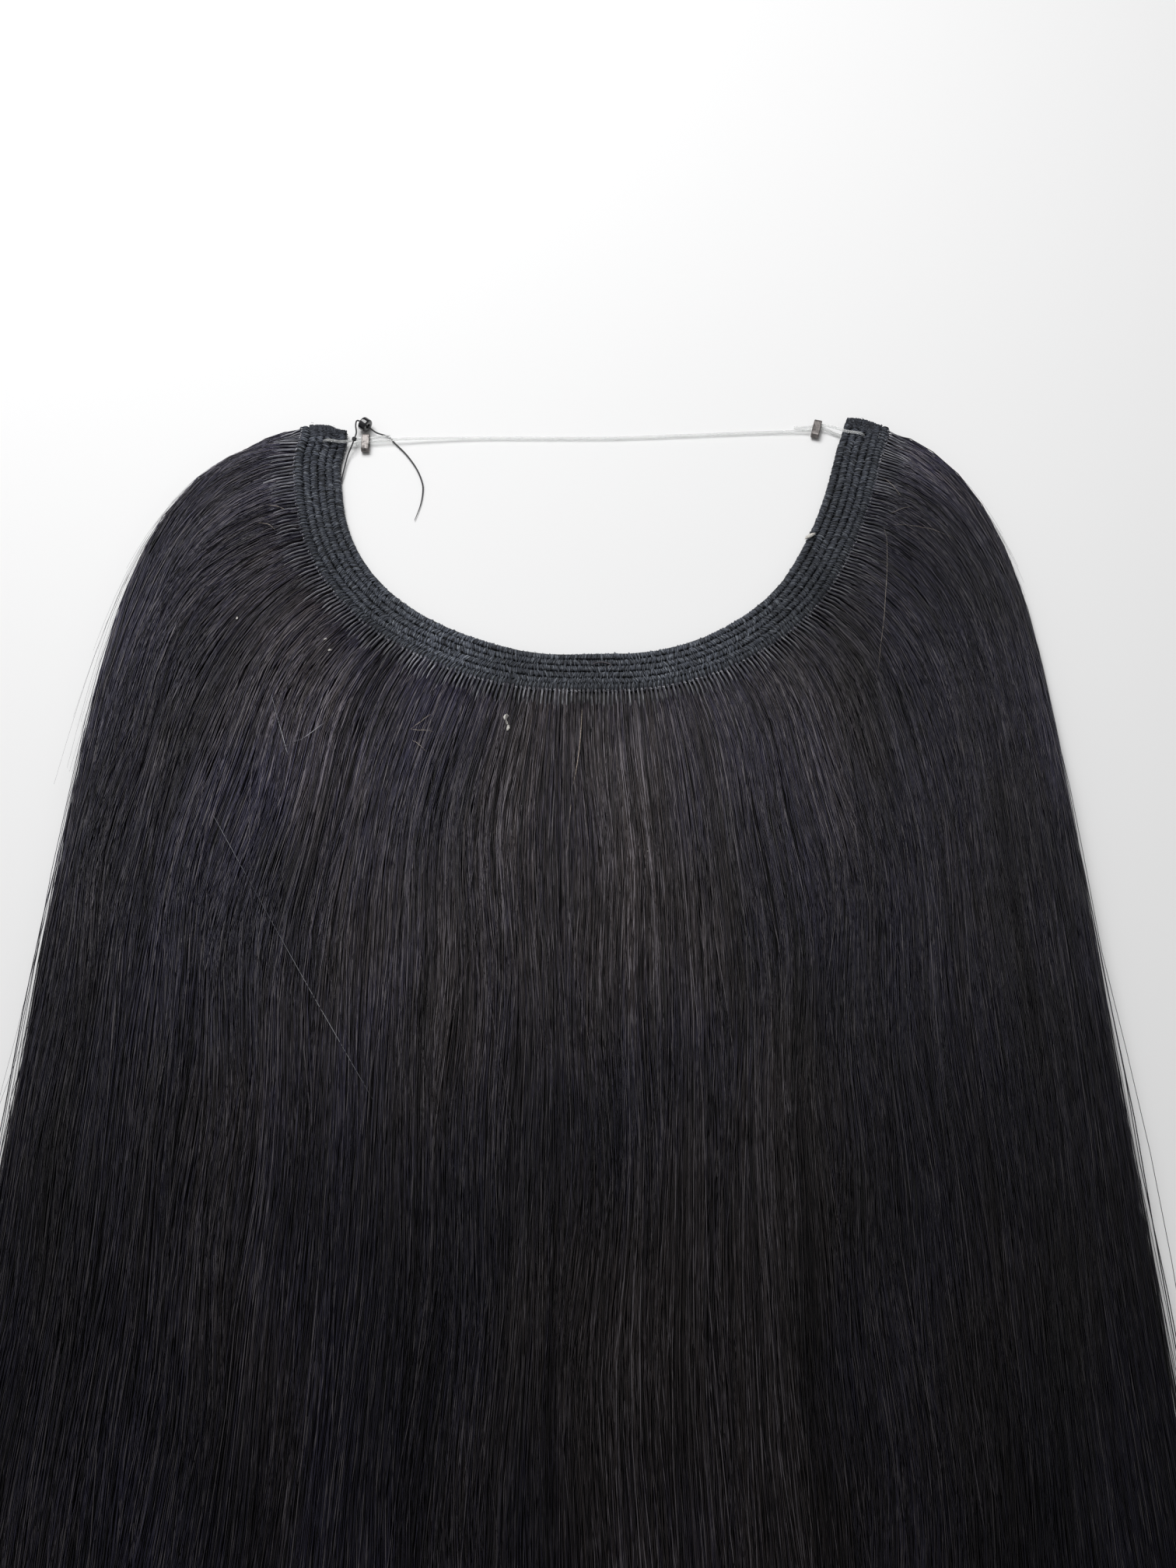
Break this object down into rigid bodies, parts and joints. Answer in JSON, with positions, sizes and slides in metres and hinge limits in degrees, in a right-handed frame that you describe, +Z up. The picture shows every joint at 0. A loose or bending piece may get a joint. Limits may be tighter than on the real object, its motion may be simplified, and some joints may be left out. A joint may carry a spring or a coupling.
{
  "type": "halo hair extension",
  "caption": "Halo hair extension lying flat: U-shaped band of stitched weft rows with long straight dark hair, a clear crimped wire across its open end and a bead on a thread.",
  "frame": {"origin": "on the surface it lies on, below the middle of the box round the band and the hair, without the wire, crimps, thread, knot and bead", "axes": "+Z up off the surface, +Y from the hair's tips to the open end of the band, +X to the right seen from the tips"},
  "size_m": [0.3068, 0.5001, 0.0081],
  "materials": {
    "stitched_weft": "matte stitched hair and thread, bluish charcoal",
    "hair": "satin straight hair, off-black with a cool sheen",
    "clear_nylon": "clear gloss nylon line",
    "crimp_metal": "satin grey-brown coated metal",
    "thread": "matte dark thread",
    "bead": "glossy black"
  },
  "bodies": {
    "root": {"weft_row_1": "stitched_weft", "weft_row_2": "stitched_weft", "weft_row_3": "stitched_weft", "weft_row_4": "stitched_weft", "weft_row_5": "stitched_weft", "hair": "hair", "halo_wire": "clear_nylon", "crimp_left": "crimp_metal", "crimp_right": "crimp_metal", "tag_thread": "thread", "knot": "thread", "bead": "bead"}
  },
  "joints": []
}
